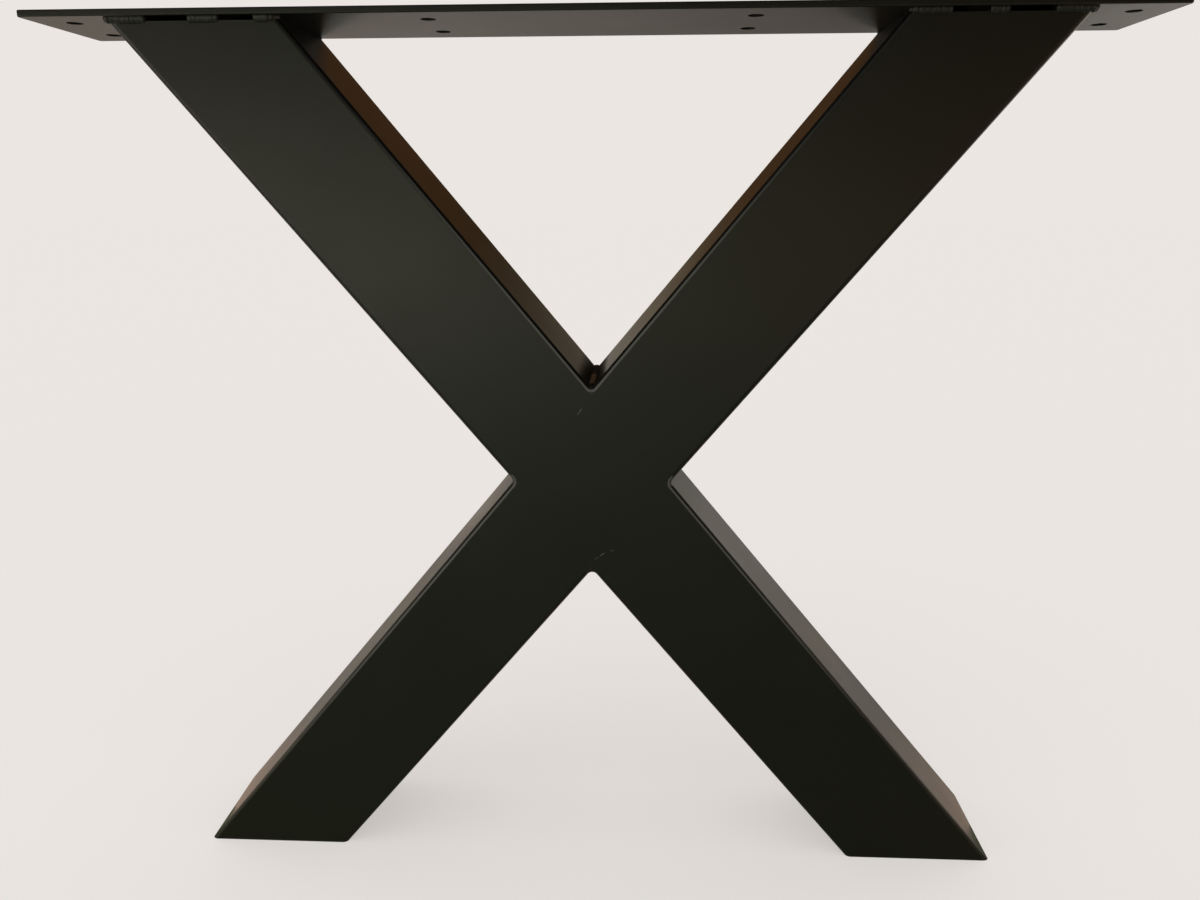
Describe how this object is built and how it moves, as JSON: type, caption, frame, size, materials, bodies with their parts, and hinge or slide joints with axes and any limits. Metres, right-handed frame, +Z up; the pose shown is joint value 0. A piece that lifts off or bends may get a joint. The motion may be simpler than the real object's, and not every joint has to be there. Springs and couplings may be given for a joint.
{
  "type": "x shaped table leg",
  "caption": "X-shaped table leg of crossing square steel tubes, welded under a flat drilled mounting plate, with level-cut feet.",
  "frame": {"origin": "on the floor, midway between the feet and midway through the depth of the tubes", "axes": "+X to the right across the leg, +Y from front to back, +Z up"},
  "size_m": [0.85, 0.11, 0.72],
  "materials": {
    "plate": "satin powder coat",
    "tubes": "satin powder coat",
    "foot_plates": "satin powder coat",
    "welds": "satin powder coat over weld beads"
  },
  "bodies": {
    "root": {"top_plate": "plate", "long_tube": "tubes", "upper_half_tube": "tubes", "lower_half_tube": "tubes", "left_foot_plate": "foot_plates", "right_foot_plate": "foot_plates", "left_plate_welds": "welds", "right_plate_welds": "welds", "top_valley_weld": "welds", "bottom_valley_weld": "welds", "left_valley_weld": "welds", "right_valley_weld": "welds"}
  },
  "joints": []
}
